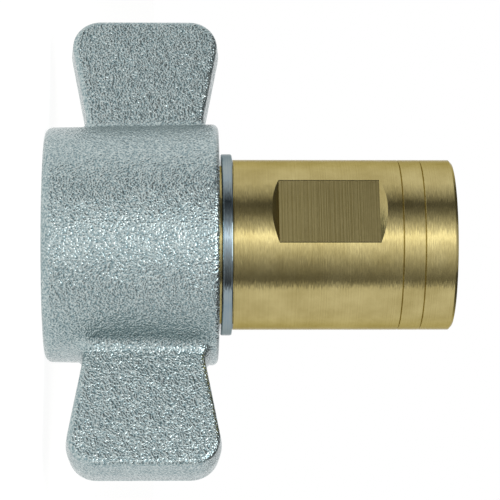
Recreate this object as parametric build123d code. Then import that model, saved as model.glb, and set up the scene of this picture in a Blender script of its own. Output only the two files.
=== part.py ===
from build123d import *
import os
from math import cos, radians, tan

# Female half of a screw-together hydraulic coupling, for one-inch taper pipe. Sizes are in millimetres.
# The pieces are drawn along X, as on a lathe: the wing nut's open mouth is at X = 0, one wing points along +Y
# and one wrench flat looks along +Z. The coupler then stands on the wing nut's mouth, with its pipe port up.

STANDING = Rot(Z=90) * Rot(Y=-90)

# Brass body, outside
BODY_R = 22.5
BODY_END = 107.0
ACROSS_FLATS = 41.275
FLAT_START = 60.9
FLAT_LENGTH = 26.1
FLAT_TURN = 0.9
MARK_FROM_END = 8.4
MARK_SPACING = 5.7
MARK_DEPTH = 0.2
EDGE_BREAK = 0.7
FINE_BREAK = 0.4

# Brass body, inside the wing nut
NOSE_FRONT = 18.0
NOSE_R = 18.6
FLANGE_FRONT = NOSE_FRONT + 8.0
FLANGE_T = 6.0
FLANGE_R = 24.3
FLANGE_BACK = FLANGE_FRONT + FLANGE_T
GASKET_INNER_R = 19.2
GASKET_OUTER_R = 22.6
GASKET_SEAT = 2.0
GASKET_PROUD = 0.6

# Brass body, bores
LIP_R = 12.2
LIP_BACK = NOSE_FRONT + 4.0
SLEEVE_BORE_R = 13.4
SPIDER_SEAT = NOSE_FRONT + 41.0
SPIDER_BORE_R = 14.2
PORT_R = 16.6
PORT_LENGTH = 26.0
CHAMBER_START = SPIDER_SEAT + 9.5
CHAMBER_R = 16.9
SEAL_GROOVE_START = NOSE_FRONT + 13.5
SEAL_GROOVE_WIDTH = 3.6
SEAL_GROOVE_R = 15.5

# Cast wing nut
NUT_LENGTH = 45.5
NUT_FRONT_R = 30.95
NUT_DRAFT = 1.2
NUT_FRONT_ROUND = 2.2
NUT_BACK_ROUND = 1.6
UNION_THREAD_R = 26.15
UNION_THREAD_END = 17.5
MOUTH_CHAMFER = 1.5
RELIEF_R = 26.6
COLLAR_R = 22.7
NUT_END_PLAY = 0.2
COLLAR_FRONT = FLANGE_BACK + NUT_END_PLAY

# Wings of the nut
WING_MIDDLE = 26.1
WING_ROOT_R = 20.0
WING_TIP_R = 64.2
WING_ROOT_HALF_WIDTH = 13.5
WING_TIP_HALF_WIDTH = 21.6
WING_CORNER = 8.0
WING_HALF_T = 7.0
WING_DRAFT = 5.0
WING_EDGE_ROUND = 1.5
WING_PARTING_ROUND = 12.0
WING_ROOT_FILLET = 3.5

# Snap ring that keeps the wing nut on the body
RING_START = 46.15
RING_T = 2.9
RING_R = 24.0
RING_ROUND = 0.5
RING_GAP = 4.0
RING_GROOVE_START = 45.3
RING_GROOVE_R = 21.0
RING_BACK_PLAY = 0.3

# Clearance of a snap ring in its seat
SEAT_PLAY = 0.05

# Tubular valve sleeve
VALVE_FRONT = NOSE_FRONT + 0.2
SLEEVE_FRONT_R = 12.15
SLEEVE_STEP = LIP_BACK + 0.1
SLEEVE_R = 13.35
SLEEVE_BACK = NOSE_FRONT + 17.5
SLEEVE_LAND_R = 9.6
SLEEVE_LAND_END = NOSE_FRONT + 6.5
SLEEVE_FLOW_R = 10.9

# Fixed valve stem and the spider that holds it
HEAD_R = 9.5
HEAD_T = 6.3
HEAD_CONE_R = 6.0
HEAD_GROOVE_R = 7.7
HEAD_GROOVE_START = VALVE_FRONT + 1.8
HEAD_GROOVE_WIDTH = 2.4
STEM_R = 3.5
STEM_END_R = 3.0
SPIDER_R = 14.1
SPIDER_T = 6.0
SPIDER_BACK = SPIDER_SEAT + SPIDER_T
SPIDER_HUB_R = 5.6
SPIDER_WINDOW_R = 10.6
SPIDER_ARMS = 3
SPIDER_ARM_WIDTH = 4.0
SPIDER_HOLE_R = STEM_END_R + 0.1
LOCK_WASHER_R = 5.2
LOCK_WASHER_T = 1.6
LOCK_WASHER_GAP = 1.0
LOCK_NUT_START = SPIDER_BACK + LOCK_WASHER_T
LOCK_NUT_ACROSS = 10.0
LOCK_NUT_T = 5.0
STEM_END = LOCK_NUT_START + LOCK_NUT_T + 1.5

# Circlip behind the spider
CLIP_START = SPIDER_BACK + 0.05
CLIP_T = 1.5
CLIP_R = 15.3
CLIP_INNER_R = 12.4
CLIP_GROOVE_R = 15.4
CLIP_LUG_R = 9.9
CLIP_LUG_WIDTH = 4.6
CLIP_HOLE_R = 0.9
CLIP_GAP = 2.4

# Valve spring
SPRING_WIRE_R = 1.1
SPRING_MEAN_R = 12.0
SPRING_TURNS = 5

# Clearance between a seal and the piece that slides in it
SEAL_CLEARANCE = 0.05


def turned(*corners):
    """Solid of revolution about the axis, from its (axial, radial) corners."""
    return revolve(make_face(Polyline(*corners, close=True)), Axis.X)


def washer(start, end, inner, outer):
    """Plain ring between two places on the axis."""
    return turned((start, inner), (end, inner), (end, outer), (start, outer))


def rims(part, *places):
    """Circular edges of a turned part at the given (axial, radial) places."""
    circles = part.edges().filter_by(GeomType.CIRCLE)
    return ShapeList(
        edge
        for edge in circles
        for axial, radial in places
        if abs(edge.arc_center.X - axial) < 1e-3 and abs(edge.radius - radial) < 1e-3
    )


def wing():
    """One wing, standing along +Y from the nut, drafted both ways from its middle plane."""
    sides = WING_MIDDLE - WING_ROOT_HALF_WIDTH, WING_MIDDLE + WING_ROOT_HALF_WIDTH
    tips = WING_MIDDLE - WING_TIP_HALF_WIDTH, WING_MIDDLE + WING_TIP_HALF_WIDTH
    outline = make_face(
        Polyline(
            (sides[0], WING_ROOT_R),
            (sides[1], WING_ROOT_R),
            (tips[1], WING_TIP_R),
            (tips[0], WING_TIP_R),
            close=True,
        )
    )
    outline = fillet(outline.vertices().sort_by(Axis.Y)[-2:], WING_CORNER)
    upper = extrude(outline, WING_HALF_T, taper=WING_DRAFT)
    upper = fillet(upper.faces().sort_by(Axis.Z)[-1].edges(), WING_EDGE_ROUND)
    whole = upper + mirror(upper, Plane.XY)
    parting_line = whole.edges().filter_by_position(Axis.Z, -1e-3, 1e-3).sort_by(Axis.Y)[1:]
    return fillet(parting_line, WING_PARTING_ROUND)


def wing_nut():
    """Cast nut with two wings, a threaded mouth, a thread relief and a collar that bears on the body's flange."""
    back_r = NUT_FRONT_R + NUT_LENGTH * tan(radians(NUT_DRAFT))
    blank = turned((0, 0), (NUT_LENGTH, 0), (NUT_LENGTH, back_r), (0, NUT_FRONT_R))
    blank = fillet(rims(blank, (0, NUT_FRONT_R)), NUT_FRONT_ROUND)
    blank = fillet(rims(blank, (NUT_LENGTH, back_r)), NUT_BACK_ROUND)
    wings = wing() + Rot(X=180) * wing()
    casting = blank + wings
    roots = new_edges(blank, wings, combined=casting)
    casting = fillet(roots, WING_ROOT_FILLET)
    bore = turned(
        (0, 0),
        (0, UNION_THREAD_R + MOUTH_CHAMFER),
        (MOUTH_CHAMFER, UNION_THREAD_R),
        (UNION_THREAD_END, UNION_THREAD_R),
        (UNION_THREAD_END, RELIEF_R),
        (COLLAR_FRONT, RELIEF_R),
        (COLLAR_FRONT, COLLAR_R),
        (NUT_LENGTH - EDGE_BREAK, COLLAR_R),
        (NUT_LENGTH, COLLAR_R + EDGE_BREAK),
        (NUT_LENGTH, 0),
    )
    return casting - bore


def flat_cutter():
    """Milling cut for one wrench flat, facing +Z, with walls at 45 degrees where it runs out."""
    floor = ACROSS_FLATS / 2
    height = BODY_R
    start, end = FLAT_START, FLAT_START + FLAT_LENGTH
    section = make_face(
        Polyline(
            (start, floor),
            (end, floor),
            (end + height, floor + height),
            (start - height, floor + height),
            close=True,
        )
    )
    return extrude(Plane.XZ * section, BODY_R, both=True)


def mark_cutter(axial):
    """Sharp turned line round the outside of the body."""
    return turned(
        (axial - 2 * MARK_DEPTH, BODY_R + MARK_DEPTH),
        (axial, BODY_R - MARK_DEPTH),
        (axial + 2 * MARK_DEPTH, BODY_R + MARK_DEPTH),
    )


def coupler_body():
    """One-piece brass body: nose and flange in the nut, wrench flats, pipe port and the stepped valve bore."""
    outside = turned(
        (NOSE_FRONT, 0),
        (NOSE_FRONT, NOSE_R),
        (FLANGE_FRONT, NOSE_R),
        (FLANGE_FRONT, FLANGE_R),
        (FLANGE_BACK, FLANGE_R),
        (FLANGE_BACK, BODY_R),
        (BODY_END, BODY_R),
        (BODY_END, 0),
    )
    outside = chamfer(rims(outside, (NOSE_FRONT, NOSE_R), (BODY_END, BODY_R)), EDGE_BREAK)
    outside = chamfer(rims(outside, (FLANGE_FRONT, FLANGE_R), (FLANGE_BACK, FLANGE_R)), FINE_BREAK)
    bore = turned(
        (NOSE_FRONT, 0),
        (NOSE_FRONT, LIP_R),
        (LIP_BACK, LIP_R),
        (LIP_BACK, SLEEVE_BORE_R),
        (SPIDER_SEAT, SLEEVE_BORE_R),
        (SPIDER_SEAT, SPIDER_BORE_R),
        (CHAMBER_START, SPIDER_BORE_R),
        (CHAMBER_START + CHAMBER_R - SPIDER_BORE_R, CHAMBER_R),
        (BODY_END - PORT_LENGTH, CHAMBER_R),
        (BODY_END - PORT_LENGTH, PORT_R),
        (BODY_END - EDGE_BREAK, PORT_R),
        (BODY_END, PORT_R + EDGE_BREAK),
        (BODY_END, 0),
    )
    seal_end = SEAL_GROOVE_START + SEAL_GROOVE_WIDTH
    ring_groove_end = RING_START + RING_T + RING_BACK_PLAY
    grooves = [
        washer(FLANGE_FRONT, FLANGE_FRONT + GASKET_SEAT, GASKET_INNER_R, GASKET_OUTER_R),
        washer(SEAL_GROOVE_START, seal_end, LIP_R, SEAL_GROOVE_R),
        washer(CLIP_START - SEAT_PLAY, CLIP_START + CLIP_T + SEAT_PLAY, LIP_R, CLIP_GROOVE_R),
        washer(RING_GROOVE_START, ring_groove_end, RING_GROOVE_R, BODY_R + RING_T),
    ]
    last_mark = BODY_END - MARK_FROM_END
    marks = [mark_cutter(last_mark), mark_cutter(last_mark - MARK_SPACING)]
    flats = [flat_cutter(), Rot(X=180) * flat_cutter()]
    return Rot(X=-FLAT_TURN) * (outside - bore - grooves - marks - flats)


def split(ring, start, outer, gap):
    """Ring cut through on its -Z side, so that it can be sprung open or shut."""
    return ring - Pos(start, 0, -outer) * Box(outer, gap, outer)


def nut_retaining_ring():
    """Snap ring with rounded outer edges, sprung into the body's groove just behind the wing nut."""
    inner = RING_GROOVE_R + SEAT_PLAY
    end = RING_START + RING_T
    ring = washer(RING_START, end, inner, RING_R)
    ring = fillet(rims(ring, (RING_START, RING_R), (end, RING_R)), RING_ROUND)
    return split(ring, RING_START, RING_R, RING_GAP)


def face_gasket():
    """Square-section seal in the flange's face, standing a little proud of it."""
    front = FLANGE_FRONT - GASKET_PROUD
    back = FLANGE_FRONT + GASKET_SEAT
    ring = washer(front, back, GASKET_INNER_R, GASKET_OUTER_R)
    return fillet(rims(ring, (front, GASKET_INNER_R), (front, GASKET_OUTER_R)), FINE_BREAK)


def valve_sleeve():
    """Tubular valve: its front land closes on the stem's head, and its step stops behind the nose's lip."""
    sleeve = turned(
        (VALVE_FRONT, SLEEVE_LAND_R),
        (VALVE_FRONT, SLEEVE_FRONT_R),
        (SLEEVE_STEP, SLEEVE_FRONT_R),
        (SLEEVE_STEP, SLEEVE_R),
        (SLEEVE_BACK, SLEEVE_R),
        (SLEEVE_BACK, SLEEVE_FLOW_R),
        (SLEEVE_LAND_END + SLEEVE_FLOW_R - SLEEVE_LAND_R, SLEEVE_FLOW_R),
        (SLEEVE_LAND_END, SLEEVE_LAND_R),
    )
    edges = rims(sleeve, (VALVE_FRONT, SLEEVE_FRONT_R), (SLEEVE_STEP, SLEEVE_R), (SLEEVE_BACK, SLEEVE_R))
    return chamfer(edges, FINE_BREAK)


def sleeve_o_ring():
    """O-ring in the body's inner groove, round the valve sleeve."""
    inner = SLEEVE_R + SEAL_CLEARANCE
    section_r = (SEAL_GROOVE_R - inner) / 2
    middle = SEAL_GROOVE_START + section_r
    return revolve(Pos(middle, inner + section_r) * Circle(section_r), Axis.X)


def sleeve_backup_ring():
    """Flat ring beside the O-ring, on its low-pressure side."""
    end = SEAL_GROOVE_START + SEAL_GROOVE_WIDTH
    o_ring_end = SEAL_GROOVE_START + SEAL_GROOVE_R - SLEEVE_R
    return washer(o_ring_end, end, SLEEVE_R + SEAL_CLEARANCE, SEAL_GROOVE_R)


def valve_stem():
    """Fixed mushroom stem: a flat head in the sleeve's mouth, a rod, and a threaded end through the spider."""
    head_back = VALVE_FRONT + HEAD_T
    stem = turned(
        (VALVE_FRONT, 0),
        (VALVE_FRONT, HEAD_R),
        (head_back, HEAD_R),
        (head_back + HEAD_R - HEAD_CONE_R, HEAD_CONE_R),
        (head_back + 2 * (HEAD_R - HEAD_CONE_R), STEM_R),
        (SPIDER_SEAT, STEM_R),
        (SPIDER_SEAT, STEM_END_R),
        (STEM_END, STEM_END_R),
        (STEM_END, 0),
    )
    stem = chamfer(rims(stem, (VALVE_FRONT, HEAD_R), (STEM_END, STEM_END_R)), FINE_BREAK)
    groove_end = HEAD_GROOVE_START + HEAD_GROOVE_WIDTH
    return stem - washer(HEAD_GROOVE_START, groove_end, HEAD_GROOVE_R, HEAD_R + FINE_BREAK)


def stem_o_ring():
    """O-ring in the stem's head, which the sleeve's land closes on."""
    outer = SLEEVE_LAND_R - SEAL_CLEARANCE
    section_r = (outer - HEAD_GROOVE_R) / 2
    middle = HEAD_GROOVE_START + HEAD_GROOVE_WIDTH / 2
    return revolve(Pos(middle, outer - section_r) * Circle(section_r), Axis.X)


def stem_spider():
    """Disc with three arms and three flow windows, which carries the stem and seats the spring."""
    arm = Pos(SPIDER_R / 2, 0) * Rectangle(SPIDER_R, SPIDER_ARM_WIDTH)
    windows = Circle(SPIDER_WINDOW_R) - Circle(SPIDER_HUB_R)
    windows -= [Rot(Z=turn * 360 / SPIDER_ARMS) * arm for turn in range(SPIDER_ARMS)]
    windows = fillet(windows.vertices(), EDGE_BREAK)
    face = Circle(SPIDER_R) - Circle(SPIDER_HOLE_R) - windows
    disc = extrude(Plane.YZ.offset(SPIDER_SEAT) * face, SPIDER_T)
    return chamfer(rims(disc, (SPIDER_SEAT, SPIDER_R), (SPIDER_BACK, SPIDER_R)), FINE_BREAK)


def spider_circlip():
    """Internal circlip behind the spider, with two lugs bored for pliers."""
    ring = washer(CLIP_START, CLIP_START + CLIP_T, CLIP_INNER_R, CLIP_R)
    ring = split(ring, CLIP_START, CLIP_R, CLIP_GAP)
    lug_height = CLIP_INNER_R - CLIP_LUG_R + FINE_BREAK
    lug_middle = CLIP_LUG_R + lug_height / 2
    for side in (-1, 1):
        across = side * (CLIP_GAP + CLIP_LUG_WIDTH) / 2
        lug = Pos(CLIP_START + CLIP_T / 2, across, -lug_middle) * Box(CLIP_T, CLIP_LUG_WIDTH, lug_height)
        hole = Pos(CLIP_START, across, -lug_middle) * Rot(Y=90) * Cylinder(CLIP_HOLE_R, 4 * CLIP_T)
        ring = ring + lug - hole
    return ring


def stem_lock_washer():
    """Split spring washer under the lock nut."""
    ring = washer(SPIDER_BACK, LOCK_NUT_START, SPIDER_HOLE_R, LOCK_WASHER_R)
    return split(ring, SPIDER_BACK, LOCK_WASHER_R, LOCK_WASHER_GAP)


def stem_lock_nut():
    """Hex nut on the stem's threaded end, with its corners turned off."""
    hexagon = RegularPolygon(LOCK_NUT_ACROSS / 2, 6, major_radius=False) - Circle(STEM_END_R)
    blank = extrude(Plane.YZ.offset(LOCK_NUT_START) * hexagon, LOCK_NUT_T)
    corner_r = LOCK_NUT_ACROSS / 2 / cos(radians(30))
    end = LOCK_NUT_START + LOCK_NUT_T
    crown = turned(
        (LOCK_NUT_START, 0),
        (LOCK_NUT_START, corner_r),
        (end - EDGE_BREAK, corner_r),
        (end, LOCK_NUT_ACROSS / 2),
        (end, 0),
    )
    return blank & crown


def valve_spring():
    """Compression spring between the sleeve's back and the spider, with its ends ground flat."""
    length = SPIDER_SEAT - SLEEVE_BACK
    pitch = length / SPRING_TURNS
    coil = Helix(pitch, length, SPRING_MEAN_R, center=(SLEEVE_BACK, 0, 0), direction=(1, 0, 0))
    wire = sweep(Plane(coil @ 0, z_dir=coil % 0) * Circle(SPRING_WIRE_R), path=coil, is_frenet=True)
    return wire & washer(SLEEVE_BACK, SPIDER_SEAT, SPRING_MEAN_R / 2, SPRING_MEAN_R * 2)


PIECES = [
    wing_nut,
    coupler_body,
    nut_retaining_ring,
    face_gasket,
    valve_sleeve,
    sleeve_o_ring,
    sleeve_backup_ring,
    valve_stem,
    stem_o_ring,
    stem_spider,
    spider_circlip,
    stem_lock_washer,
    stem_lock_nut,
    valve_spring,
]

os.makedirs("parts", exist_ok=True)
for piece in PIECES:
    export_step(STANDING * piece(), f"parts/{piece.__name__}.step")
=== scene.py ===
import logging
import math
from dataclasses import dataclass
from enum import Enum
from typing import Any, Callable

import bmesh
import bpy
from mathutils import Matrix, Vector


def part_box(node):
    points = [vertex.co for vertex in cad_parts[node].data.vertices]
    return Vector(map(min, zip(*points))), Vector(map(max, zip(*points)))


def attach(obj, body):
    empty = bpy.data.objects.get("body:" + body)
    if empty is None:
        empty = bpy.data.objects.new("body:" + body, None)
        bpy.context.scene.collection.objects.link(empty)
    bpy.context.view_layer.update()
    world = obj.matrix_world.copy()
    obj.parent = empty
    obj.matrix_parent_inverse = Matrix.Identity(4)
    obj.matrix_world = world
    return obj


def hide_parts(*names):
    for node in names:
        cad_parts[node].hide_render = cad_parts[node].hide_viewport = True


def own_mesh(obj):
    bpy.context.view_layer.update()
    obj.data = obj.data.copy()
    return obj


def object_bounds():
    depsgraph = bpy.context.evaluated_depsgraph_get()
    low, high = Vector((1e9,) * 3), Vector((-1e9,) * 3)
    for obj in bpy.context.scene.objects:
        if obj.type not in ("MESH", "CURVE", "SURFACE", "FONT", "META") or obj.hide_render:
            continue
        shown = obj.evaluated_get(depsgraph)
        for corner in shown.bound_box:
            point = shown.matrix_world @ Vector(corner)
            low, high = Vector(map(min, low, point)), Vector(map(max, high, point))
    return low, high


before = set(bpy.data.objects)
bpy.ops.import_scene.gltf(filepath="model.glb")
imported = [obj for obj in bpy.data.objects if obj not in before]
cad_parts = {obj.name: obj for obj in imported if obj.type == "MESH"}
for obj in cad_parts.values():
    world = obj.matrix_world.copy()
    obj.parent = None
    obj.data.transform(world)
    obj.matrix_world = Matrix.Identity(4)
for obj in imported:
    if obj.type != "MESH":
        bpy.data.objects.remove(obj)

log = logging.getLogger("coupler")

MM = 0.001
CAD_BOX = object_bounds()

# Socket numbers of the colour Mix node, whose sockets share their names
MIX_A = 6
MIX_B = 7
MIX_RESULT = 2

# Turns an anisotropic highlight square to its tangent
QUARTER_TURN = 0.25

# The level about which every noise swings
NOISE_MIDDLE = 0.5

# Least cosine between a face's normal and an axis at which the face counts as square to it
SQUARE_ON = 0.98

# Keeps what lies across the coupler's axis and drops what lies along it
ACROSS_AXIS = (1.0, 1.0, 0.0)

WHITE = (1.0, 1.0, 1.0, 1.0)

Colour = tuple[float, float, float, float]
Place = tuple[float, float, float]
Row = list[bmesh.types.BMVert]


def linear(hex_colour: str) -> Colour:
    """Turn an sRGB hex colour into linear light.

    Args:
        hex_colour: six hex digits after a hash sign.

    Returns:
        Red, green and blue in linear light, with an alpha of one.
    """
    channels = []
    for start in (1, 3, 5):
        value = int(hex_colour[start:start + 2], 16) / 255
        channels.append(value / 12.92 if value <= 0.04045 else ((value + 0.055) / 1.055) ** 2.4)
    return (*channels, 1.0)


def per_metre(size_mm: float) -> float:
    """Texture scale that gives features of the stated size in millimetres."""
    return 1.0 / (size_mm * MM)


def ramp(value: float, start: float, end: float) -> float:
    """Share of the way from start to end that a value has come, held between zero and one."""
    return min(1.0, max(0.0, (value - start) / (end - start)))


def add(tree: bpy.types.NodeTree, kind: str, links: dict[Any, Any], **settings: Any) -> bpy.types.Node:
    """Add one node to a tree.

    Args:
        tree: the node tree.
        kind: the node's type name.
        links: input name or number to an output socket, which is linked, or to a plain value, which is set.
        settings: the node's own properties.

    Returns:
        The new node.
    """
    node = tree.nodes.new(kind)
    for name, value in settings.items():
        setattr(node, name, value)
    for name, source in links.items():
        if isinstance(source, bpy.types.NodeSocket):
            tree.links.new(source, node.inputs[name])
        else:
            node.inputs[name].default_value = source
    return node


def new_tree(name: str) -> tuple[bpy.types.Material, bpy.types.NodeTree]:
    """Make an empty node material.

    Args:
        name: the material's name.

    Returns:
        The material and its node tree.
    """
    material = bpy.data.materials.new(name)
    material.use_nodes = True
    material.node_tree.nodes.clear()
    return material, material.node_tree


def close_tree(tree: bpy.types.NodeTree, shader: bpy.types.Node) -> None:
    """Link a shader to the tree's output."""
    add(tree, "ShaderNodeOutputMaterial", {"Surface": shader.outputs[0]})


def dress(piece: bpy.types.Object, material: bpy.types.Material) -> None:
    """Give a piece one material all over."""
    piece.data.materials.clear()
    piece.data.materials.append(material)


def bridge(mesh: bmesh.types.BMesh, first: Row, second: Row, closed: bool = True) -> None:
    """Join two rows of points by a strip of faces.

    Args:
        mesh: the mesh that holds the points.
        first: one row of points.
        second: the next row, with as many points.
        closed: whether each row runs back to its own start.
    """
    count = len(first)
    for spot in range(count if closed else count - 1):
        after = (spot + 1) % count
        mesh.faces.new((first[spot], second[spot], second[after], first[after]))


def new_object(name: str, mesh: bmesh.types.BMesh, material: bpy.types.Material) -> bpy.types.Object:
    """Turn a mesh into an object of the scene.

    Args:
        name: the object's name.
        mesh: its faces, which are freed.
        material: its finish.

    Returns:
        The new object.
    """
    data = bpy.data.meshes.new(name)
    mesh.to_mesh(data)
    mesh.free()
    thing = bpy.data.objects.new(name, data)
    bpy.context.scene.collection.objects.link(thing)
    dress(thing, material)
    return thing


def place_mesh(
    name: str,
    mesh: bmesh.types.BMesh,
    material: bpy.types.Material,
    body: str,
    smooth: float = 35.0,
) -> bpy.types.Object:
    """Turn a mesh into a piece that rides on a body.

    Args:
        name: the piece's name.
        mesh: its faces, which are freed.
        material: its finish.
        body: the body that it rides on.
        smooth: the edge angle in degrees up to which shading is smooth.

    Returns:
        The new piece.
    """
    piece = new_object(name, mesh, material)
    piece.data.set_sharp_from_angle(angle=math.radians(smooth))
    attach(piece, body)
    log.info("%s: %d faces on %s", name, len(piece.data.polygons), body)
    return piece


@dataclass(frozen=True)
class ZincPlatedCasting:
    """Sand-cast steel, shot-blasted and zinc plated: pale blue-grey metal that glints from every grain."""

    # Painted light on the grain's peaks and painted shade, darker and bluer, in its hollows
    peak_painted_light: str = "#C0CBCA"
    hollow_painted_shade: str = "#7A9095"
    # Real shot marks are finer and would not show, so they are drawn about two pixels wide
    grain_mm: float = 0.48
    grain_depth_mm: float = 0.26
    grain_detail: float = 0.6
    # Turned, so that no flat of the casting lies along the grain's own grid
    grain_turn: Place = (0.5, 0.35, 0.2)
    lump_mm: float = 2.6
    lump_depth_mm: float = 0.3
    noise_low: float = 0.3
    noise_high: float = 0.7
    roughness_low: float = 0.1
    roughness_high: float = 0.18
    machined_r_mm: float = 28.4
    machined_edge_mm: float = 0.4
    machined_grain: float = 0.12

    def material(self) -> bpy.types.Material:
        """Build the casting's material."""
        material, tree = new_tree("zinc_plated_casting")
        place = add(tree, "ShaderNodeTexCoord", {}).outputs["Object"]
        across = add(tree, "ShaderNodeVectorMath", {0: place, 1: ACROSS_AXIS}, operation="MULTIPLY")
        radius = add(tree, "ShaderNodeVectorMath", {0: across.outputs[0]}, operation="LENGTH")
        # The bore was machined after casting, so the grain stops at its edge
        as_cast = add(tree, "ShaderNodeMapRange", {
            "Value": radius.outputs["Value"],
            "From Min": (self.machined_r_mm - self.machined_edge_mm) * MM,
            "From Max": self.machined_r_mm * MM,
            "To Min": self.machined_grain, "To Max": 1.0})
        # Blasted grains are what gives the sparkle
        askew = add(tree, "ShaderNodeMapping", {"Vector": place, "Rotation": self.grain_turn})
        grain = add(tree, "ShaderNodeTexNoise", {
            "Vector": askew.outputs[0], "Scale": per_metre(self.grain_mm), "Detail": self.grain_detail})
        # Wider lumps left by the sand make the sparkle uneven
        lump = add(tree, "ShaderNodeTexNoise", {"Vector": place, "Scale": per_metre(self.lump_mm)})
        # Plating is smoother on the peaks than in the hollows; the colour is painted shade, darker and bluer,
        # in the grain's hollows and painted light on its peaks
        level = add(tree, "ShaderNodeMapRange", {
            "Value": grain.outputs[0], "From Min": self.noise_low, "From Max": self.noise_high})
        tint = add(tree, "ShaderNodeMix", {
            "Factor": level.outputs[0], MIX_A: linear(self.hollow_painted_shade), MIX_B: linear(self.peak_painted_light)},
            data_type="RGBA")
        gloss = add(tree, "ShaderNodeMapRange", {
            "Value": level.outputs[0], "To Min": self.roughness_high, "To Max": self.roughness_low})
        lumps = add(tree, "ShaderNodeBump", {
            "Height": lump.outputs[0], "Strength": as_cast.outputs[0], "Distance": self.lump_depth_mm * MM})
        grains = add(tree, "ShaderNodeBump", {
            "Height": grain.outputs[0], "Strength": as_cast.outputs[0],
            "Distance": self.grain_depth_mm * MM, "Normal": lumps.outputs[0]})
        shader = add(tree, "ShaderNodeBsdfPrincipled", {
            "Base Color": tint.outputs[MIX_RESULT], "Metallic": 1.0, "Roughness": gloss.outputs[0],
            "Normal": grains.outputs[0]})
        close_tree(tree, shader)
        return material


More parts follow.
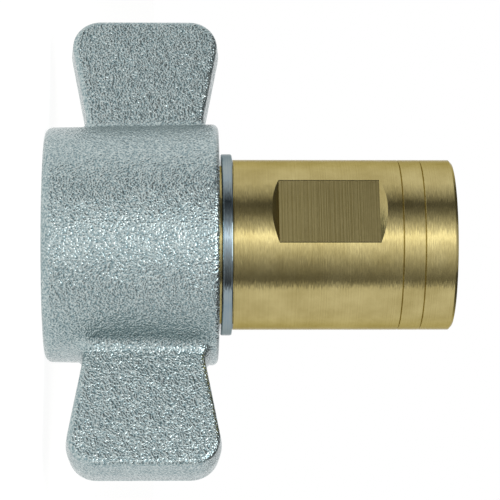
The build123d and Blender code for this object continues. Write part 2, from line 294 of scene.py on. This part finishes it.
@dataclass(frozen=True)
class TurnedMetal:
    """Bar metal left as the tool cut it: fine rings round the axis that fray the edges of each reflection.

    A real feed of about a tenth of a millimetre would not show, so the rings are drawn coarser.
    """

    name: str
    bright: str
    dull: str
    edge: str
    ring_mm: float
    ring_depth_mm: float
    roughness: float
    anisotropy: float
    raggedness: float = 0.6
    streak_mm: float = 1.6
    streak_width_mm: float = 0.15
    streak_detail: float = 1.0
    streak_lean: float = 0.2
    stain_mm: float = 9.0
    stain_detail: float = 3.0
    line_share: float = 0.35
    shade_low: float = 0.25
    shade_high: float = 0.75
    milled_r_mm: float = 0.0
    milled_band_mm: float = 0.0
    milled_gain: float = 8.0
    milled_share: float = 0.2
    milled_roughness: float = 0.14

    def material(self) -> bpy.types.Material:
        """Build the turned metal's material."""
        material, tree = new_tree(self.name)
        where = add(tree, "ShaderNodeTexCoord", {})
        place = where.outputs["Object"]
        axial = add(tree, "ShaderNodeSeparateXYZ", {"Vector": place})
        across = add(tree, "ShaderNodeVectorMath", {0: place, 1: ACROSS_AXIS}, operation="MULTIPLY")
        radius = add(tree, "ShaderNodeVectorMath", {0: across.outputs[0]}, operation="LENGTH")
        facing = add(tree, "ShaderNodeSeparateXYZ", {"Vector": where.outputs["Normal"]})
        # On end faces the tool marks are rings of growing radius, elsewhere rings along the axis
        side = add(tree, "ShaderNodeMath", {
            0: facing.outputs["Z"], 1: 0.0, 2: SQUARE_ON}, operation="COMPARE")
        end_face = add(tree, "ShaderNodeMath", {0: 1.0, 1: side.outputs[0]}, operation="SUBTRACT")
        along = add(tree, "ShaderNodeMath", {
            0: radius.outputs["Value"], 1: end_face.outputs[0], 2: axial.outputs["Z"]},
            operation="MULTIPLY_ADD")
        rings = add(tree, "ShaderNodeTexNoise", {
            "W": along.outputs[0], "Scale": per_metre(self.ring_mm), "Roughness": self.raggedness},
            noise_dimensions="1D")
        # Short scratches along the rings make bright and dark bands run into each other
        length = per_metre(self.streak_mm)
        width = per_metre(self.streak_width_mm)
        grid = add(tree, "ShaderNodeVectorMath", {0: place, 1: (length, length, width)}, operation="MULTIPLY")
        streaks = add(tree, "ShaderNodeTexNoise", {
            "Vector": grid.outputs[0], "Scale": 1.0, "Detail": self.streak_detail})
        # Milled flats face along Y and lie inside the bar's radius; the cutter left deeper lines on them
        below_bar = add(tree, "ShaderNodeMath", {
            0: radius.outputs["Value"], 1: self.milled_r_mm * MM, 2: self.milled_band_mm * MM},
            operation="COMPARE")
        outward = add(tree, "ShaderNodeMath", {0: facing.outputs["Y"]}, operation="ABSOLUTE")
        flat = add(tree, "ShaderNodeMath", {0: outward.outputs[0], 1: SQUARE_ON}, operation="GREATER_THAN")
        milled = add(tree, "ShaderNodeMath", {
            0: below_bar.outputs[0], 1: flat.outputs[0]}, operation="MULTIPLY")
        gain = add(tree, "ShaderNodeMath", {
            0: milled.outputs[0], 1: self.milled_gain, 2: 1.0}, operation="MULTIPLY_ADD")
        swing = add(tree, "ShaderNodeMath", {0: rings.outputs[0], 1: NOISE_MIDDLE}, operation="SUBTRACT")
        lines = add(tree, "ShaderNodeMath", {0: swing.outputs[0], 1: gain.outputs[0]}, operation="MULTIPLY")
        # Handling and age leave wide, faint stains under the lines
        stain = add(tree, "ShaderNodeTexNoise", {
            "Vector": place, "Scale": per_metre(self.stain_mm), "Detail": self.stain_detail,
            "Roughness": self.raggedness})
        share = add(tree, "ShaderNodeMath", {
            0: milled.outputs[0], 1: self.milled_share, 2: self.line_share}, operation="MULTIPLY_ADD")
        shade = add(tree, "ShaderNodeMath", {
            0: lines.outputs[0], 1: share.outputs[0], 2: stain.outputs[0]}, operation="MULTIPLY_ADD")
        level = add(tree, "ShaderNodeMapRange", {
            "Value": shade.outputs[0], "From Min": self.shade_low, "From Max": self.shade_high})
        tint = add(tree, "ShaderNodeMix", {
            "Factor": level.outputs[0], MIX_A: linear(self.dull), MIX_B: linear(self.bright)},
            data_type="RGBA")
        gloss = add(tree, "ShaderNodeMath", {
            0: milled.outputs[0], 1: self.milled_roughness, 2: self.roughness}, operation="MULTIPLY_ADD")
        ring_bump = add(tree, "ShaderNodeBump", {
            "Height": lines.outputs[0], "Strength": 1.0, "Distance": self.ring_depth_mm * MM})
        # Each scratch leans the surface a little round the axis
        round_axis = add(tree, "ShaderNodeTangent", {}, direction_type="RADIAL", axis="Z")
        lean = add(tree, "ShaderNodeMath", {
            0: streaks.outputs[0], 1: self.streak_lean, 2: -NOISE_MIDDLE * self.streak_lean},
            operation="MULTIPLY_ADD")
        leaned = add(tree, "ShaderNodeVectorMath", {
            0: round_axis.outputs[0], 1: lean.outputs[0], 2: ring_bump.outputs[0]}, operation="MULTIPLY_ADD")
        normal = add(tree, "ShaderNodeVectorMath", {0: leaned.outputs[0]}, operation="NORMALIZE")
        shader = add(tree, "ShaderNodeBsdfPrincipled", {
            "Base Color": tint.outputs[MIX_RESULT], "Metallic": 1.0, "Roughness": gloss.outputs[0],
            "Specular Tint": linear(self.edge), "Anisotropic": self.anisotropy,
            "Anisotropic Rotation": QUARTER_TURN, "Normal": normal.outputs[0],
            "Tangent": round_axis.outputs[0]})
        close_tree(tree, shader)
        return material


@dataclass(frozen=True)
class MouldedSeal:
    """Moulded rubber or plastic: a soft low sheen broken by fine bloom on the skin."""

    name: str
    skin: str
    bloom: str
    bloom_mm: float
    roughness: float
    bloom_detail: float = 4.0
    bloom_raggedness: float = 0.65
    bloom_low: float = 0.45
    bloom_high: float = 0.75
    skin_depth_mm: float = 0.02
    skin_strength: float = 0.4

    def material(self) -> bpy.types.Material:
        """Build the seal's material."""
        material, tree = new_tree(self.name)
        place = add(tree, "ShaderNodeTexCoord", {}).outputs["Object"]
        bloom = add(tree, "ShaderNodeTexNoise", {
            "Vector": place, "Scale": per_metre(self.bloom_mm), "Detail": self.bloom_detail,
            "Roughness": self.bloom_raggedness})
        level = add(tree, "ShaderNodeMapRange", {
            "Value": bloom.outputs[0], "From Min": self.bloom_low, "From Max": self.bloom_high})
        tint = add(tree, "ShaderNodeMix", {
            "Factor": level.outputs[0], MIX_A: linear(self.skin), MIX_B: linear(self.bloom)},
            data_type="RGBA")
        bump = add(tree, "ShaderNodeBump", {
            "Height": bloom.outputs[0], "Strength": self.skin_strength, "Distance": self.skin_depth_mm * MM})
        shader = add(tree, "ShaderNodeBsdfPrincipled", {
            "Base Color": tint.outputs[MIX_RESULT], "Roughness": self.roughness, "Normal": bump.outputs[0]})
        close_tree(tree, shader)
        return material


class Finish(Enum):
    """The finishes of the coupler's pieces."""

    # Blasted and plated: pale blue-grey, with a glint from every grain
    CASTING = ZincPlatedCasting()
    # Turned from bar, with two milled flats: pale yellow bands of light, and dull lined flats
    BODY_BRASS = TurnedMetal(
        name="turned_brass", bright="#BFB17C", dull="#A49561", edge="#CDC5A8",
        ring_mm=0.28, ring_depth_mm=0.002, roughness=0.17, anisotropy=0.3,
        milled_r_mm=21.4, milled_band_mm=1.0)
    # Finely turned for sealing: a softer, more even shine
    VALVE_BRASS = TurnedMetal(
        name="fine_turned_brass", bright="#C4B67E", dull="#AFA06A", edge="#CDC5A8",
        ring_mm=0.2, ring_depth_mm=0.002, roughness=0.2, anisotropy=0.5)
    # Zinc over smooth wire: almost a mirror, with a faint blue cast
    RING_ZINC = TurnedMetal(
        name="zinc_plated_spring_steel", bright="#9EA7A6", dull="#7F919C", edge="#B8C0C2",
        ring_mm=0.3, ring_depth_mm=0.001, roughness=0.1, anisotropy=0.2)
    # Drawn through a die: neutral grey with a soft sheen
    BRIGHT_STEEL = TurnedMetal(
        name="bright_drawn_steel", bright="#C4C5C4", dull="#A9ABAC", edge="#E0E0E0",
        ring_mm=0.25, ring_depth_mm=0.002, roughness=0.24, anisotropy=0.4)
    # Blacked in oil: dark, with a low sheen
    BLACK_STEEL = TurnedMetal(
        name="oil_blacked_spring_steel", bright="#4A4B4E", dull="#333437", edge="#8A8A8C",
        ring_mm=0.25, ring_depth_mm=0.002, roughness=0.35, anisotropy=0.3)
    # Moulded rubber: near black, with a grey bloom
    SEAL_RUBBER = MouldedSeal(
        name="nitrile_rubber", skin="#1B1B1C", bloom="#2C2C2D", bloom_mm=0.6, roughness=0.5)
    # Moulded plastic: off-white and waxy
    BACKUP_PLASTIC = MouldedSeal(
        name="white_filled_plastic", skin="#E2DFD6", bloom="#D2CEC3", bloom_mm=0.8, roughness=0.42)


class FinishShelf:
    """Makes each finish's material once and hands it out."""

    def __init__(self) -> None:
        """Start with no material made."""
        self._made: dict[Finish, bpy.types.Material] = {}

    def get(self, finish: Finish) -> bpy.types.Material:
        """Return the finish's material, made on first use."""
        if finish not in self._made:
            self._made[finish] = finish.value.material()
        return self._made[finish]

    def dress_nodes(self, finishes: dict[str, Finish]) -> None:
        """Dress some of the coupler's solids.

        Args:
            finishes: each solid's node name and its finish.
        """
        for node, finish in finishes.items():
            dress(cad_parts[node], self.get(finish))
            log.info("%s dressed as %s", node, finish.name)


class ThreadForm(Enum):
    """Section of a thread: the share of the pitch that is flat on the crest, and again in the root."""

    TRAPEZOID = 0.29
    VEE = 0.02

    def height(self, turn: float) -> float:
        """Share of the ridge's height at a place along the pitch.

        Args:
            turn: place along the pitch, in pitches.

        Returns:
            Zero in the root, one on the crest.
        """
        flat = self.value
        from_crest = abs((turn % 1.0) - 0.5) * 2
        return ramp(from_crest, 1.0 - flat, flat)


@dataclass(frozen=True)
class InternalThread:
    """A thread cut in a bore: a closed lining whose inner side carries the helical ridge. Sizes in mm."""

    name: str
    start: float
    end: float
    root_r: float
    depth: float
    pitch: float
    form: ThreadForm
    mouth: float
    narrowing: float = 0.0
    lead_in: float = 2.0
    run_out: float = 3.0
    wall: float = 0.3
    round_steps: int = 144
    pitch_steps: int = 20

    def ridge(self, axial: float, turn: float) -> float:
        """Inner radius at a place in the thread.

        Args:
            axial: place along the coupler's axis.
            turn: angle round the axis, in turns.

        Returns:
            The radius in millimetres.
        """
        inward = abs(axial - self.mouth)
        from_end = min(abs(axial - self.start), abs(axial - self.end))
        near_mouth = inward < abs(self.end - self.start) / 2
        fade = min(1.0, from_end / (self.lead_in if near_mouth else self.run_out))
        height = self.form.height(axial / self.pitch - turn) * self.depth * fade
        return self.root_r - self.narrowing * inward - height

    def build(self, material: bpy.types.Material, body: str, slot: str) -> bpy.types.Object:
        """Build the lining and set it on its body.

        Args:
            material: its finish.
            body: the body that it rides on.
            slot: the record's material slot; not used.

        Returns:
            The new piece.
        """
        mesh = bmesh.new()
        steps = max(2, round(abs(self.end - self.start) / self.pitch * self.pitch_steps))
        rings = []
        for step in range(steps + 1):
            axial = self.start + (self.end - self.start) * step / steps
            rings.append(self._ring(mesh, axial, lambda turn, x=axial: self.ridge(x, turn)))
        for axial in (self.end, self.start):
            rings.append(self._ring(mesh, axial, lambda turn: self.root_r + self.wall))
        for first, second in zip(rings, rings[1:] + rings[:1]):
            bridge(mesh, first, second)
        bmesh.ops.recalc_face_normals(mesh, faces=mesh.faces)
        return place_mesh(self.name, mesh, material, body)

    def _ring(self, mesh: bmesh.types.BMesh, axial: float, radius: Callable[[float], float]) -> Row:
        """Add one ring of points round the axis.

        Args:
            mesh: the mesh that gets the points.
            axial: place along the coupler's axis.
            radius: the radius at an angle in turns.

        Returns:
            The points in order.
        """
        points = []
        for spot in range(self.round_steps):
            turn = spot / self.round_steps
            reach = radius(turn) * MM
            angle = turn * math.tau
            points.append(mesh.verts.new((reach * math.cos(angle), reach * math.sin(angle), axial * MM)))
        return points


@dataclass
class WingNut:
    """The cast nut with its two wings and the coarse union thread in its mouth."""

    shelf: FinishShelf
    union_thread: InternalThread = InternalThread(
        name="union_thread", start=1.3, end=17.5, root_r=26.13, depth=1.65, pitch=5.08,
        form=ThreadForm.TRAPEZOID, mouth=0.0)

    def build(self) -> None:
        """Dress the casting and cut its thread."""
        self.shelf.dress_nodes({"wing_nut": Finish.CASTING})
        self.union_thread.build(self.shelf.get(Finish.RING_ZINC), "wing_nut", "zinc_plated_casting")


@dataclass
class BrassBody:
    """The turned brass body with its pipe thread, and the snap ring and gasket that it carries."""

    shelf: FinishShelf
    pipe_thread: InternalThread = InternalThread(
        name="pipe_thread", start=81.2, end=106.2, root_r=16.57, depth=1.35, pitch=2.2087,
        form=ThreadForm.VEE, mouth=107.0, narrowing=1 / 32)

    def build(self) -> None:
        """Dress the body and its rings, and cut the pipe thread."""
        self.shelf.dress_nodes({
            "coupler_body": Finish.BODY_BRASS,
            "nut_retaining_ring": Finish.RING_ZINC,
            "face_gasket": Finish.SEAL_RUBBER,
        })
        self.pipe_thread.build(self.shelf.get(Finish.BODY_BRASS), "body", "turned_brass")


@dataclass
class SleeveValve:
    """The sleeve, stem, spider and seals, and the spring that closes them. Sizes in mm."""

    shelf: FinishShelf
    wire_r: float = 1.1
    mean_r: float = 12.0
    turns: float = 6.5
    closed_turns: float = 1.0
    round_steps: int = 16
    turn_steps: int = 64
    travel: float = 9.0

    def build(self) -> None:
        """Dress the valve's pieces and wind its spring."""
        self.shelf.dress_nodes({
            "valve_sleeve": Finish.VALVE_BRASS,
            "valve_stem": Finish.VALVE_BRASS,
            "stem_spider": Finish.VALVE_BRASS,
            "sleeve_o_ring": Finish.SEAL_RUBBER,
            "stem_o_ring": Finish.SEAL_RUBBER,
            "sleeve_backup_ring": Finish.BACKUP_PLASTIC,
            "spider_circlip": Finish.BLACK_STEEL,
            "stem_lock_washer": Finish.BRIGHT_STEEL,
            "stem_lock_nut": Finish.BRIGHT_STEEL,
        })
        self.wind_spring()

    def wind_spring(self) -> None:
        """Wind the spring between the sleeve and the spider, with closed ends ground flat."""
        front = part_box("valve_sleeve")[1][2]
        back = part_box("stem_spider")[0][2]
        wire = self.wire_r * MM
        mesh = bmesh.new()
        steps = round(self.turns * self.turn_steps)
        loops = []
        for step in range(steps + 1):
            turn = self.turns * step / steps
            angle = turn * math.tau
            middle = self._rise(turn, front, back)
            loop = []
            for spot in range(self.round_steps):
                around = spot / self.round_steps * math.tau
                height = min(back, max(front, middle + wire * math.sin(around)))
                reach = self.mean_r * MM + wire * math.cos(around)
                loop.append(mesh.verts.new((math.cos(angle) * reach, math.sin(angle) * reach, height)))
            loops.append(loop)
        for first, second in zip(loops, loops[1:]):
            bridge(mesh, first, second)
        mesh.faces.new(loops[0])
        mesh.faces.new(reversed(loops[-1]))
        bmesh.ops.recalc_face_normals(mesh, faces=mesh.faces)
        steel = self.shelf.get(Finish.BRIGHT_STEEL)
        spring = place_mesh("valve_spring_wire", mesh, steel, "body")
        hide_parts("valve_spring")
        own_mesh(spring)

    def _rise(self, turn: float, front: float, back: float) -> float:
        """Place of the wire's middle along the axis.

        Args:
            turn: turns wound so far.
            front: the sleeve's end, in metres.
            back: the spider's end, in metres.

        Returns:
            The place in metres.
        """
        wire = 2 * self.wire_r * MM
        open_turns = self.turns - 2 * self.closed_turns
        open_rise = (back - front) - 2 * self.closed_turns * wire
        if turn < self.closed_turns:
            return front + wire * turn
        if turn > self.turns - self.closed_turns:
            return back - wire * (self.turns - turn)
        return front + wire * self.closed_turns + open_rise * (turn - self.closed_turns) / open_turns


@dataclass
class Studio:
    """White table, pale room, grey reflector, lamp and camera.

    Places are in mm along the coupler, across it in the picture and towards the camera. Angles are in degrees
    round the coupler from the camera, upwards in the picture. The limits of the room's wall, ceiling and
    panel are sines of the angle above level.
    """

    azimuth: float = 24.0
    camera_place: Place = (31.4, 0.0, 672.0)
    camera_aim: Place = (54.02, -1.36, 0.0)
    focal_per_frame: float = 2538.0 / 500.0
    sensor_mm: float = 36.0

    table_half_width: float = 6000.0
    table_white: str = "#858583"
    table_lift: float = 0.88

    wall_top: float = 0.45
    ceiling_from: float = 0.75
    ceiling_level: float = 0.1
    panel_from: float = 0.94
    panel_full: float = 0.985
    panel_level: float = 0.6

    lamp_place: Place = (560.0, 60.0, 560.0)
    lamp_aim: Place = (20.0, 0.0, 0.0)
    lamp_width: float = 420.0
    lamp_height: float = 560.0
    lamp_watts: float = 2.4

    reflector_r: float = 850.0
    reflector_from: float = -58.0
    reflector_to: float = 86.0
    reflector_step: float = 1.0
    reflector_rows: tuple[float, ...] = (1.0, 80.0, 115.0, 150.0, 185.0, 900.0)

    glow_at: float = 11.0
    glow_peak: float = 1.65
    glow_dim: float = 0.04
    glow_fall: float = 1.5
    glow_below: float = 25.5
    glow_above: float = 17.3
    core_peak: float = 0.7
    core_spread: float = 5.0

    # Higher up the glow is wider, first below its middle and then above it
    wider_below: float = 10.5
    wider_below_from: float = 80.0
    wider_below_to: float = 150.0
    wider_above: float = 4.7
    wider_above_from: float = 140.0
    wider_above_to: float = 180.0

    # Towards its two ends the reflector fades into the white room
    edge_from: float = 57.0
    edge_to: float = 80.0
    edge_level: float = 0.8
    foot_from: float = -49.0
    foot_level: float = 0.55

    def build(self) -> None:
        """Set up the table, the room, the lights and the camera."""
        self.lay_table()
        self.close_room()
        self.stand_reflector()
        self.hang_lamp()
        self.set_camera()
        bpy.context.scene.view_settings.view_transform = "Standard"

    def spot(self, place: Place) -> Vector:
        """Turn a place in the picture's directions into the frame.

        Args:
            place: along the coupler, across it and towards the camera, in mm.

        Returns:
            The place in metres.
        """
        along, across, towards = (length * MM for length in place)
        turn = math.radians(self.azimuth)
        sideways = Vector((-math.cos(turn), -math.sin(turn), 0.0))
        nearer = Vector((math.sin(turn), -math.cos(turn), 0.0))
        return Vector((0.0, 0.0, along)) + sideways * across + nearer * towards

    def look(self, place: Place, aim: Place) -> Matrix:
        """Matrix of a lamp or camera that looks at a point, with the coupler's axis along its own X axis.

        Args:
            place: where it stands.
            aim: the point that it looks at.

        Returns:
            Its world matrix.
        """
        stand = self.spot(place)
        back = (stand - self.spot(aim)).normalized()
        axis = Vector((0.0, 0.0, 1.0))
        right = (axis - back * axis.dot(back)).normalized()
        turn = Matrix((right, back.cross(right), back)).transposed().to_4x4()
        return Matrix.Translation(stand) @ turn

    def lay_table(self) -> None:
        """Lay a white table under the coupler, which shows white to the eye and still takes a shadow."""
        mesh = bmesh.new()
        half = self.table_half_width * MM
        level = CAD_BOX[0][2]
        corners = ((-1, -1), (1, -1), (1, 1), (-1, 1))
        mesh.faces.new([mesh.verts.new((x * half, y * half, level)) for x, y in corners])
        material, tree = new_tree("white_table")
        matt = add(tree, "ShaderNodeBsdfDiffuse", {"Color": linear(self.table_white)})
        path = add(tree, "ShaderNodeLightPath", {})
        seen = add(tree, "ShaderNodeMath", {
            0: path.outputs["Is Camera Ray"], 1: path.outputs["Is Glossy Ray"]}, operation="MAXIMUM")
        shown = add(tree, "ShaderNodeMath", {
            0: seen.outputs[0], 1: path.outputs["Is Transmission Ray"]}, operation="MAXIMUM")
        lift = add(tree, "ShaderNodeMath", {0: shown.outputs[0], 1: self.table_lift}, operation="MULTIPLY")
        glow = add(tree, "ShaderNodeEmission", {"Strength": lift.outputs[0]})
        both = add(tree, "ShaderNodeAddShader", {0: matt.outputs[0], 1: glow.outputs[0]})
        close_tree(tree, both)
        new_object("table", mesh, material)
        log.info("table laid")

    def close_room(self) -> None:
        """Put a white room round the table, dim overhead but for a pale panel straight above."""
        world = bpy.data.worlds.new("studio_room")
        bpy.context.scene.world = world
        world.use_nodes = True
        tree = world.node_tree
        tree.nodes.clear()
        way = add(tree, "ShaderNodeTexCoord", {}).outputs["Generated"]
        part = add(tree, "ShaderNodeSeparateXYZ", {"Vector": way})
        room = add(tree, "ShaderNodeMapRange", {
            "Value": part.outputs["Z"], "From Min": self.wall_top, "From Max": self.ceiling_from,
            "To Min": 1.0, "To Max": self.ceiling_level})
        panel = add(tree, "ShaderNodeMapRange", {
            "Value": part.outputs["Z"], "From Min": self.panel_from, "From Max": self.panel_full,
            "To Min": 0.0, "To Max": self.panel_level})
        level = add(tree, "ShaderNodeMath", {0: room.outputs[0], 1: panel.outputs[0]}, operation="ADD")
        glow = add(tree, "ShaderNodeBackground", {"Color": WHITE, "Strength": level.outputs[0]})
        add(tree, "ShaderNodeOutputWorld", {"Surface": glow.outputs[0]})
        log.info("room closed")

    def stand_reflector(self) -> None:
        """Stand a curved grey reflector behind the camera, with a soft glow in its middle."""
        mesh = bmesh.new()
        shade = mesh.verts.layers.float.new("glow")
        columns = []
        for step in range(round((self.reflector_to - self.reflector_from) / self.reflector_step) + 1):
            angle = self.reflector_from + self.reflector_step * step
            across = self.reflector_r * math.sin(math.radians(angle))
            towards = self.reflector_r * math.cos(math.radians(angle))
            column = []
            for height in self.reflector_rows:
                point = mesh.verts.new(self.spot((height, across, towards)))
                point[shade] = self.glow(angle, height)
                column.append(point)
            columns.append(column)
        for first, second in zip(columns, columns[1:]):
            bridge(mesh, first, second, closed=False)
        material, tree = new_tree("glowing_reflector")
        level = add(tree, "ShaderNodeAttribute", {}, attribute_name="glow")
        close_tree(tree, add(tree, "ShaderNodeEmission", {"Strength": level.outputs["Fac"]}))
        reflector = new_object("reflector", mesh, material)
        reflector.visible_camera = False
        log.info("reflector stood")

    def glow(self, angle: float, height: float) -> float:
        """Brightness of a place on the reflector.

        Args:
            angle: degrees round the coupler from the camera, upwards in the picture.
            height: mm along the coupler.

        Returns:
            Radiance, where one is white.
        """
        away = angle - self.glow_at
        if away > 0:
            wider = self.wider_above * ramp(height, self.wider_above_from, self.wider_above_to)
            spread = self.glow_above + wider
        else:
            wider = self.wider_below * ramp(height, self.wider_below_from, self.wider_below_to)
            spread = self.glow_below + wider
        middle = (self.glow_peak - self.glow_dim) * math.exp(-(abs(away / spread) ** self.glow_fall))
        core = self.core_peak * math.exp(-((away / self.core_spread) ** 2))
        edge = (self.edge_level - self.glow_dim) * ramp(angle, self.edge_from, self.edge_to)
        foot = self.foot_level * ramp(angle, self.foot_from, self.reflector_from)
        return self.glow_dim + middle + core + edge + foot

    def hang_lamp(self) -> None:
        """Hang a softbox in front of the coupler, on the pipe end's side."""
        lamp = bpy.data.lights.new("front_softbox", "AREA")
        lamp.shape = "RECTANGLE"
        lamp.size = self.lamp_width * MM
        lamp.size_y = self.lamp_height * MM
        lamp.energy = self.lamp_watts
        holder = bpy.data.objects.new("front_softbox", lamp)
        bpy.context.scene.collection.objects.link(holder)
        holder.matrix_world = self.look(self.lamp_place, self.lamp_aim)
        log.info("front_softbox hung")

    def set_camera(self) -> None:
        """Look at the coupler as the photograph does, with its axis lying across the picture."""
        camera = bpy.data.cameras.new("camera")
        camera.sensor_width = self.sensor_mm
        camera.lens = self.sensor_mm * self.focal_per_frame
        holder = bpy.data.objects.new("camera", camera)
        bpy.context.scene.collection.objects.link(holder)
        holder.matrix_world = self.look(self.camera_place, self.camera_aim)
        bpy.context.scene.camera = holder
        log.info("camera set")


def main() -> None:
    """Build the coupler's pieces in order, then the studio round them."""
    logging.basicConfig(level=logging.INFO, format="%(name)s: %(message)s")
    shelf = FinishShelf()
    for group in (WingNut(shelf), BrassBody(shelf), SleeveValve(shelf)):
        group.build()
    Studio().build()


if __name__ == "__main__":
    main()
